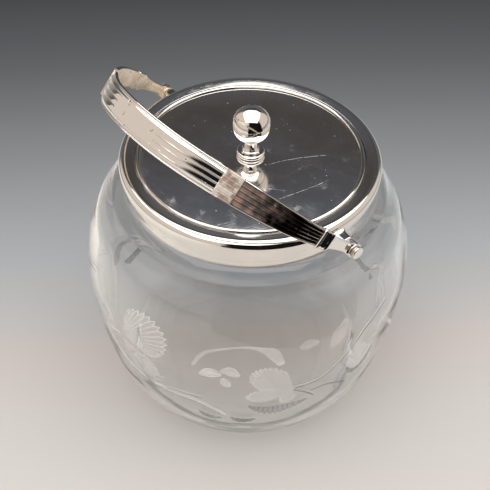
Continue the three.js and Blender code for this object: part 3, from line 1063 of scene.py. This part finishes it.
def jar_sides():
    """The glass section's inside, from the floor's middle up, and outside, from the neck down."""
    points, _ = section_of("glass_jar")
    if points[0].y < points[-1].y:
        points.reverse()
    top = max(range(len(points)), key=lambda index: points[index].y)
    return points[: top + 1], points[top + 1 :]


# Where the glass thickens towards the neck: (radius, height) of its inside, in millimetres
neck_inside = [(62.0, 117.4), (58.8, 118.9), (55.0, 120.2), (51.6, 122.2), (50.5, 127.0)]

# The dished floor inside, from its middle out to the wall
floor_inside = [(0, 8.0), (30, 8.0), (44, 8.1), (52, 8.6), (58, 10.2), (62.5, 13.2)]

# Under the jar, from the foot ring's inner edge: a soft hollow with a ground pontil mark
under_jar = [
    (44, 0), (41.5, 0.25), (38.5, 0.55), (35, 0.8), (31, 0.95), (25, 1.06), (19, 1.3), (13, 1.75),
    (7, 2.2), (0, 2.4),
]


def in_mm(places):
    return [Vector((out * MM, up * MM)) for out, up in places]


def jar_wall():
    """The glass node's section, with a thicker neck, a dished floor and a softer hollow below."""
    inside, outside = jar_sides()
    low, high = 16 * MM, 114.5 * MM
    walls = [place for place in inside if low < place.y < high]
    foot_ring = 44.5 * MM
    ring = next(i for i, place in enumerate(outside) if place.x < foot_ring and place.y < MM)
    inside = in_mm(floor_inside) + walls + in_mm(neck_inside) + [inside[-1]]
    outline = eased(inside + outside[:ring] + in_mm(under_jar), False, 0.6 * MM, 1.2 * MM)
    return mesh_object("jar_glass_wall", *revolved(outline, False, 192), sharp=50)


# Engraving on the jar, drawn flat in millimetres: across from the middle of a spray, as arc at
# the jar's widest, and up along the jar's outline from its foot. Each grid is rows of places
# with how far they are towards the leaf's margin and which vein they lie on.


def fan(base, bearing, spread, reach, teeth):
    """A leaf whose veins spread from its base to a toothed margin."""
    inner, roundness, bite, ring_gap = 0.02, 0.4, 0.09, 1.6
    rays = teeth * 4
    rings = max(3, round(reach * (1 - inner) / ring_gap))
    rows = []
    for ring in range(rings + 1):
        share = inner + (1 - inner) * ring / rings
        row = []
        for ray in range(rays + 1):
            aside = ray / rays
            angle = math.radians(bearing + spread * (aside - 0.5))
            margin = reach * (1 - roundness + roundness * math.sin(math.pi * aside))
            notch = abs(aside * teeth % 1 - 0.5) * 2
            out = margin * share * (1 - bite * notch * share**4)
            x, y = base[0] + out * math.cos(angle), base[1] + out * math.sin(angle)
            row.append((x, y, share, aside * teeth))
        rows.append(row)
    return rows


def followed(places, steps):
    """Each place on a curve, the direction to its left and how far along the curve it lies."""
    line = spline([Vector(place) for place in places], steps)
    for index, here in enumerate(line):
        along = line[min(index + 1, steps)] - line[max(index - 1, 0)]
        yield here, Vector((-along.y, along.x)).normalized(), index / steps


def blade(places, widths, veins=2.0):
    """A shape along a curve through places, with its half widths on the two sides."""
    steps = 8 * (len(places) - 1)
    halves = spline([Vector(width) for width in widths], steps)
    columns = 6
    rows = []
    for (here, left, along), (low, high) in zip(followed(places, steps), halves):
        row = []
        for share in (column / columns for column in range(columns + 1)):
            spot = here + left * (high * share - low * (1 - share))
            row.append((spot.x, spot.y, along, share * veins if veins else 0.5))
        rows.append(row)
    return rows


def comb(places, depth, teeth):
    """A crescent cut with teeth along its outer side, for painted shade in dark grey."""
    columns, tip_thickness, bite = 4, 0.12, 0.25
    rows = []
    for here, left, share in followed(places, teeth * 4):
        thick = depth * (tip_thickness + (1 - tip_thickness) * math.sin(math.pi * share))
        tooth = 1 - bite * abs(share * teeth % 1 - 0.5) * 2
        row = []
        for step in range(columns + 1):
            spot = here + left * thick * step / columns * (tooth if step else 1)
            row.append((spot.x, spot.y, 0.6 + step / 10, share * teeth))
        rows.append(row)
    return rows


def stem(places, *lines):
    """Cuts side by side along a stem: each with how far up it lies, its darkness and half width."""
    return [
        (blade([(x, y + up) for x, y in places], [(width, width)] * len(places), 0.0), darkness)
        for up, darkness, width in lines
    ]


def spray():
    """One spray: (grid, darkness) of each cut in it; below 0 is a white cut, above 0 a cut painted
    dark as shade.
    """
    left_stem = [
        (-83, 81), (-79, 75), (-70, 65), (-58, 60), (-45, 58.5), (-33, 59), (-21, 58), (-8, 49),
    ]
    right_stem = [(24, 72.6), (37, 74.5), (48, 84), (60, 95), (76, 102)]
    cuts = stem(left_stem, (0, -0.6, 0.45), (1.9, -0.6, 0.4), (-1.3, 0.9, 0.32), (3.3, 0.6, 0.25))
    cuts += stem(right_stem, (0, 1.0, 0.38), (1.5, -0.3, 0.4), (2.8, 0.8, 0.3))
    cuts += stem([(-45, 57.5), (-34, 62), (-19, 63)], (0, 0.9, 0.3), (1.3, -0.5, 0.3))
    cuts += stem([(-80, 76), (-72, 80), (-64, 84)], (0, -0.5, 0.4))
    cuts += [
        (fan((-63, 85), 34, 92, 31, 15), 0.0),
        (fan((-64, 81), -36, 66, 28, 12), 0.2),
        (comb([(-58, 62), (-47, 62), (-37, 70)], 3.4, 9), 0.6),
        (fan((24, 72), 138, 66, 27, 14), -0.05),
        (fan((24, 72), 190, 44, 24, 9), -0.03),
        (fan((24, 72), 248, 68, 12.5, 9), -0.04),
        (comb([(3, 61), (11, 59), (21, 59.5), (32, 60)], -8.5, 13), 0.85),
        (blade([(-20, 84), (-15, 86), (-10, 86)], [(1, 1), (3, 3.5), (1, 1)]), -0.45),
        (blade([(-10, 88), (-6, 89), (-2, 86)], [(1, 1), (3.4, 3), (1, 1)]), -0.4),
        (blade([(-9, 84), (-8, 80), (-6, 77)], [(0.6, 0.6), (2.4, 2.4), (0.5, 0.5)]), -0.4),
        (blade([(24, 71), (30, 66.5), (35, 61)], [(0.4, 0.4)] * 3), 1.0),
        (blade([(33, 66.4), (42, 66.4), (53, 59.7)], [(0.4, 0.4)] * 3), 1.0),
        (blade([(40, 95), (45, 101), (49, 108)], [(1, 1), (4, 4), (1.4, 1.4)], 0.0), -0.1),
        (blade([(25, 101), (29, 102), (34, 102)], [(1, 1), (2.6, 2.6), (1, 1)], 0.0), -0.15),
        (fan((55, 91), -76, 62, 25, 11), -0.12),
        (comb([(52, 73), (60, 67), (69, 76)], -4.0, 8), 0.9),
        (comb([(-22, 49), (-16, 47), (-10, 46)], -4.6, 5), 0.9),
        (comb([(-6, 48), (0, 46.5), (7, 47)], -4.8, 6), 1.0),
    ]
    tendril = [
        (-23, 89), (-20, 96), (-16, 100), (-8, 103), (0, 104.5), (8, 103), (13, 100), (17, 93),
    ]
    thickness = [
        (0.8, 0.8), (1, 1), (1, 0.8), (0.6, 0.6), (0.6, 0.6), (1.4, 1.4), (3, 3), (1.6, 1.6),
    ]
    return cuts + [(blade(tendril, thickness, 0.0), -0.22)]


def engraving_blank(outline):
    """One spray as thin closed plates, with the jar's outline beside it as a line."""
    vertices, faces = [], []
    values = {"margin": [], "vein": [], "dark": [], "is_outline": []}
    for grid, dark in spray():
        high, wide = len(grid), len(grid[0])
        first, layer = len(vertices), high * wide
        for lift in (0, MM):
            for x, y, margin, vein in itertools.chain(*grid):
                vertices.append((x * MM, y * MM, lift))
                for name, value in zip(values, (margin, vein, dark, 0.0)):
                    values[name].append(value)
        for i, j in itertools.product(range(high - 1), range(wide - 1)):
            corner = first + i * wide + j
            ring = (corner, corner + 1, corner + wide + 1, corner + wide)
            faces += [ring[::-1], tuple(index + layer for index in ring)]
        edge = [(0, j) for j in range(wide)]
        edge += [(i, wide - 1) for i in range(1, high)]
        edge += [(high - 1, j) for j in reversed(range(wide - 1))]
        edge += [(i, 0) for i in reversed(range(1, high - 1))]
        rim = [first + i * wide + j for i, j in edge]
        for here, there in zip(rim, rim[1:] + rim[:1]):
            faces.append((here, there, there + layer, here + layer))
    first = len(vertices)
    vertices += [(place.x, 0, place.y) for place in outline]
    edges = [(index, index + 1) for index in range(first, len(vertices) - 1)]
    for name, value in zip(values, (0.0, 0.0, 0.0, 1.0)):
        values[name] += [value] * len(outline)
    return blank_piece("jar_engraving", vertices, edges, faces, values)


def laid_round_jar(material):
    """Repeats the flat spray, then lays it on the jar by sampling the jar's outline."""
    sizes = {
        "Sprays": 3,
        "Widest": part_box("glass_jar")[1].x,
        "First bearing": camera_bearing,
        "Sunk": 0.02 * MM,
        "Proud": 0.05 * MM,
    }
    group, tree, geometry, size = geometry_tree("laid_round_jar", sizes)
    on_outline = named(tree, "is_outline").math("GREATER_THAN", 0.5)
    sockets = {"Geometry": geometry, "Selection": on_outline}
    parts = tree.outputs("GeometryNodeSeparateGeometry", {"domain": "POINT"}, sockets)
    curve = tree.add("GeometryNodeMeshToCurve", sockets={"Mesh": parts["Selection"]})
    pitch = size["Widest"] * 2 * math.pi / size["Sprays"]
    sockets = {"Count": size["Sprays"], "Offset": tree.combine(pitch, 0.0, 0.0)}
    row = tree.add("GeometryNodeMeshLine", sockets=sockets)
    sockets = {"Points": row, "Instance": parts["Inverted"]}
    repeated = tree.add("GeometryNodeInstanceOnPoints", sockets=sockets)
    real = tree.add("GeometryNodeRealizeInstances", sockets={0: repeated})
    across, up, layer = tree.add("GeometryNodeInputPosition").parts()
    settings = {"mode": "LENGTH", "use_all_curves": True}
    sample = tree.outputs("GeometryNodeSampleCurve", settings, {"Curves": curve, "Length": up})
    out, _, height = sample["Position"].parts()
    slope_out, _, slope_up = sample["Tangent"].parts()
    lift = layer / MM * (size["Proud"] + size["Sunk"]) - size["Sunk"]
    out = out + slope_up * lift
    bearing = across / size["Widest"] + size["First bearing"]
    place = tree.combine(
        out * bearing.math("COSINE"), out * bearing.math("SINE"), height - slope_out * lift
    )
    laid = tree.add("GeometryNodeSetPosition", sockets={"Geometry": real, "Position": place})
    finish_tree(tree, laid, material)
    return group, sizes


def engraving():
    """Frosted foliage cut into the jar's outside."""
    _, outside = jar_sides()
    foot_ring, neck = 51.9 * MM, 126 * MM
    sides_up = [place for place in outside if place.x > foot_ring and place.y < neck][::-1]
    frost = cut_frost()
    piece = run_tree(engraving_blank(evenly(sides_up, 1.0 * MM)), *laid_round_jar(frost))
    shade(piece.data, 40)
    dressed(piece, "jar", "jar_glass", frost)


def roll_outline():
    """The rolled rim: a full round outside its crest, laid down over the wall, and a slow fall
    inside."""
    section = section_of("collar_roll")[0]
    outer, inner = (edge(place.x for place in section) for edge in (max, min))
    base = min(place.y for place in section)
    wall = max(place.x for place in section_of("collar_wall")[0])
    round_out, round_up = 3.0 * MM, 2.9 * MM
    crest, centre = outer - round_out, rim_height - round_up
    apron_inner, apron_outer, apron_end = wall - 0.1 * MM, wall + 0.02 * MM, centre - 7.5 * MM
    drop, bend = 0.65 * MM, 0.15
    steps = 20
    places = [(apron_inner, base), (apron_inner, apron_end)]
    for share in (step / steps for step in range(steps + 1)):
        swell = share * share * (3 - 2 * share)
        up = apron_end + (centre - apron_end) * share
        places.append((apron_outer + (outer - apron_outer) * swell, up))
    for angle in (math.radians(5 * step) for step in range(1, 19)):
        up = centre + round_up * math.sin(angle)
        places.append((crest + round_out * math.cos(angle), up))
    for share in (step / steps for step in range(1, steps + 1)):
        sunk = (math.hypot(share, bend) - bend) / (math.hypot(1, bend) - bend)
        places.append((crest + (inner - crest) * share, rim_height - drop * sunk))
    return [Vector(place) for place in places + [(inner, base)]]


# Studio


def picture_camera():
    """The camera at the picture's place, turned so that the lid falls on its own pixel."""
    data = bpy.data.cameras.new("picture_camera")
    data.sensor_width = sensor_width
    data.lens = sensor_width * focal_pixels / picture_side
    data.clip_start = 10 * MM
    data.clip_end = 100
    camera = placed("picture_camera", data)
    bpy.context.scene.camera = camera
    back = towards_camera * math.cos(camera_height) + Vector((0, 0, math.sin(camera_height)))
    facing = (-back).to_track_quat("-Z", "Y").to_matrix().to_4x4()
    middle = picture_side / 2
    ray = Vector((lid_pixel[0] - middle, lid_pixel[1] - middle, focal_pixels)).normalized()
    yaw = math.atan2(ray.x, math.hypot(ray.y, ray.z))
    pitch = math.atan2(-ray.y, ray.z)
    place = Vector((0, 0, rim_height)) + back * camera_distance
    camera.matrix_world = (
        Matrix.Translation(place)
        @ facing
        @ Matrix.Rotation(yaw, 4, "Y")
        @ Matrix.Rotation(-pitch, 4, "X")
        @ Matrix.Rotation(camera_roll, 4, "Z")
    )


def overhead_lamp():
    """One broad soft lamp over the table, which glass does not gather into bright streaks."""
    data = bpy.data.lights.new("overhead_softbox", "AREA")
    data.shape = "RECTANGLE"
    data.size = 1.33
    data.size_y = 1.36
    radiance = 1.95
    data.energy = radiance * math.pi * data.size * data.size_y
    data.color = (1.0, 0.985, 0.96)
    lamp = placed("overhead_softbox", data)
    lamp.location = towards_camera * 0.068 + Vector((0, 0, 0.92))
    lamp.rotation_euler = (0, 0, camera_bearing)
    lamp.visible_transmission = False


flag_black = (0.012, 0.012, 0.013)


def black_flags():
    """Matt black boards before the table and at its right, there only for metal to mirror."""
    material, tree = blank_material("black_cloth")
    shine(tree, {"Base Color": flag_black, "Roughness": 1.0, "Specular IOR Level": 0.0})
    foot = towards_camera * 0.45
    boards = {
        "black_flag_front": (foot - rightwards * 0.12, foot + rightwards * 0.75, 0.59),
        "black_flag_right": (Vector((0.22, -0.35, 0)), Vector((0.22, 0.10, 0)), 0.13),
    }
    for name, (start, end, top) in boards.items():
        up = Vector((0, 0, top))
        flag = mesh_object(name, [start, end, end + up, start + up], [(0, 1, 2, 3)])
        flag.data.materials.append(material)
        for ray in ("camera", "diffuse", "transmission", "shadow", "volume_scatter"):
            setattr(flag, f"visible_{ray}", False)
        flag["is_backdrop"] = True


# The table's painted light from behind the barrel to in front of it: metres towards the camera,
# colour
table_painted_light = [
    (-0.40, (0.060, 0.066, 0.072)), (-0.36, (0.080, 0.088, 0.094)),
    (-0.32, (0.099, 0.107, 0.117)), (-0.28, (0.122, 0.132, 0.141)),
    (-0.23, (0.172, 0.184, 0.197)), (-0.17, (0.248, 0.264, 0.279)),
    (-0.12, (0.335, 0.353, 0.374)), (-0.07, (0.435, 0.455, 0.478)),
    (-0.03, (0.535, 0.535, 0.535)), (0.005, (0.650, 0.600, 0.585)),
    (0.040, (0.680, 0.660, 0.635)), (0.075, (0.710, 0.690, 0.670)),
    (0.100, (0.720, 0.695, 0.670)), (0.250, (0.640, 0.600, 0.555)),
]


def table_top():
    """A wide plain table whose colour is painted light: palest in front under the lamp and falling
    off to grey behind. Metal sees it paler at the left and at the right, a painted reflection."""
    reach = 6.0
    corners = [(reach * x, reach * y, 0) for x, y in ((-1, -1), (1, -1), (1, 1), (-1, 1))]
    table = mesh_object("table_top", corners, [(0, 1, 2, 3)])
    material, tree = blank_material("table_paper")
    place = tree.object_place()
    ahead, aside = place.dot(towards_camera), place.dot(rightwards)
    ramp_per_metre = 1.25
    stops = [(where * ramp_per_metre + 0.5, colour) for where, colour in table_painted_light]
    share = (ahead + aside * 0.1) * ramp_per_metre + 0.5
    fade = tree.add("ShaderNodeValToRGB", {"stops": stops}, {"Fac": share})
    # Painted reflection: glossy rays alone see the table paler at the left and grey-blue at the
    # right.
    mirrored = tree.add("ShaderNodeLightPath", out="Is Glossy Ray")
    left = aside.smooth(-0.09, -0.2) * (0.35 + ahead.smooth(-0.4, -0.2) * 0.65)
    right = aside.smooth(0.10, 0.22) * ahead.smooth(0.12, 0.0)
    fade = tree.mix(mirrored * left, fade, (0.93, 0.90, 0.85))
    shine(tree, {
        "Base Color": tree.mix(mirrored * right, fade, (0.66, 0.68, 0.70)),
        "Roughness": 0.95,
        "Specular IOR Level": 0.0,
        "Normal": tree.bump(tree.noise(place, 1500.0, 2.0), 0.1 * MM, 0.1),
    })
    table.data.materials.append(material)
    table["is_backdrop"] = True


def studio_room():
    """What metal mirrors: dark towards the camera, cream walls beside it, grey behind."""
    world = bpy.data.worlds.new("studio_room")
    bpy.context.scene.world = world
    world.use_nodes = True
    world.node_tree.nodes.clear()
    tree = Tree(world.node_tree)
    towards = tree.add("ShaderNodeTexCoord", out="Generated")
    forward, sideways = towards.dot(towards_camera), towards.dot(rightwards)

    # Degrees up, degrees round from the camera to the right, and degrees round either way
    height = towards.parts()[2].math("ARCSINE") * (180 / math.pi)
    turned = sideways.math("ARCTAN2", forward) * (180 / math.pi)
    ahead = turned.smooth(-22, -12) * turned.smooth(64, 56)
    rear = abs(turned).smooth(128, 138)
    side = (1 - ahead) * (1 - rear)

    dark = tree.mix(height.smooth(34, 48), (0.060, 0.053, 0.048), (0.085, 0.090, 0.105))
    colour = tree.mix(rear, (0.20, 0.20, 0.21), dark)
    colour = tree.mix(rear * height.smooth(36, 26), colour, (0.12, 0.12, 0.13))
    colour = tree.mix(side * height.smooth(56, 48), colour, (0.68, 0.60, 0.53))
    colour = tree.mix(ahead * height.smooth(50, 42), colour, flag_black)
    backdrop = tree.mix(forward.smooth(-0.6, 0.3), table_painted_light[0][1], (0.84, 0.80, 0.77))
    mirrored, seen = (
        tree.add("ShaderNodeBackground", sockets={"Color": tone, "Strength": 1.0})
        for tone in (colour, backdrop)
    )
    path = tree.outputs("ShaderNodeLightPath")
    plain = path["Is Camera Ray"].at_least(path["Is Transmission Ray"])
    both = tree.add("ShaderNodeMixShader", sockets={0: plain, 1: mirrored, 2: seen})
    tree.add("ShaderNodeOutputWorld", sockets={"Surface": both})


# The whole barrel


def build_jar():
    dressed(jar_wall(), "jar", "jar_glass", clear_glass(), "glass_jar")
    engraving()
    turned_piece("neck_plaster", "plaster_bed", "jar", "bedding_plaster", set_plaster())


def build_collar():
    silver = plate_silver("collar_silver", (0.93, 0.90, 0.86), 0.07, 0.02, 0.10)
    turned_piece("collar_band_silver", "collar_wall", "jar", "collar_silver", silver)
    roll = eased(roll_outline(), True, 0.2 * MM, 0.3 * MM)
    rim = mesh_object("collar_roll_silver", *revolved(roll, True, 384), sharp=50)
    dressed(rim, "jar", "collar_silver", silver, "collar_roll")
    turned_piece("collar_seat_silver", "collar_seat", "jar", "collar_silver", silver)
    for side, label in sides:
        node = f"lug_{label}"
        dressed(lug(side, f"{node}_silver"), "jar", "collar_silver", silver, node)
    return silver


def build_lid(silver):
    knob = plate_silver("knob_silver", (0.94, 0.91, 0.87), 0.05, 0.006, 0.05)
    brass = dull_brass()
    turned_piece("lid_plate_mirror", "lid_plate", "lid", "lid_silver", lid_mirror(), 0.15 * MM)
    bead = {"ease": 0.1 * MM, "step": 0.2 * MM, "steps": 384}
    turned_piece("lid_bead_silver", "lid_edge_bead", "lid", "collar_silver", silver, **bead)
    turned_piece("lid_ring_silver", "lid_locating_ring", "lid", "collar_silver", silver)
    for part, metal, slot, finish in (
        ("ball", "silver", "knob_silver", knob),
        ("stem", "silver", "knob_silver", knob),
        ("foot", "silver", "knob_silver", knob),
        ("stud", "brass", "fixing_brass", brass),
        ("washer", "brass", "fixing_brass", brass),
    ):
        name = f"knob_{part}_{metal}"
        turned_piece(name, f"knob_{part}", "lid", slot, finish, step=0.25 * MM, steps=128)
    cast_piece("knob_nut_brass", "knob_nut", "lid", "fixing_brass", brass)


def build_handle():
    silver = handle_silver()
    arch = Arch()
    handle_band(arch, silver)
    for side, label in sides:
        end = handle_end(arch, side, f"handle_end_{label}_silver")
        dressed(end, "handle", "handle_silver", silver, f"handle_end_{label}")
        for shape, node in ((pin, f"pivot_pin_{label}"), (pin_washer, f"pivot_washer_{label}")):
            dressed(shape(side, f"{node}_silver"), "jar", "handle_silver", silver, node)


build_jar()
build_lid(build_collar())
build_handle()
table_top()
black_flags()
overhead_lamp()
studio_room()
picture_camera()
bpy.context.scene.view_settings.view_transform = "Standard"

boxes = {"cad": cad_box, "visual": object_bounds()}
{name: [list(corner) for corner in box] for name, box in boxes.items()}
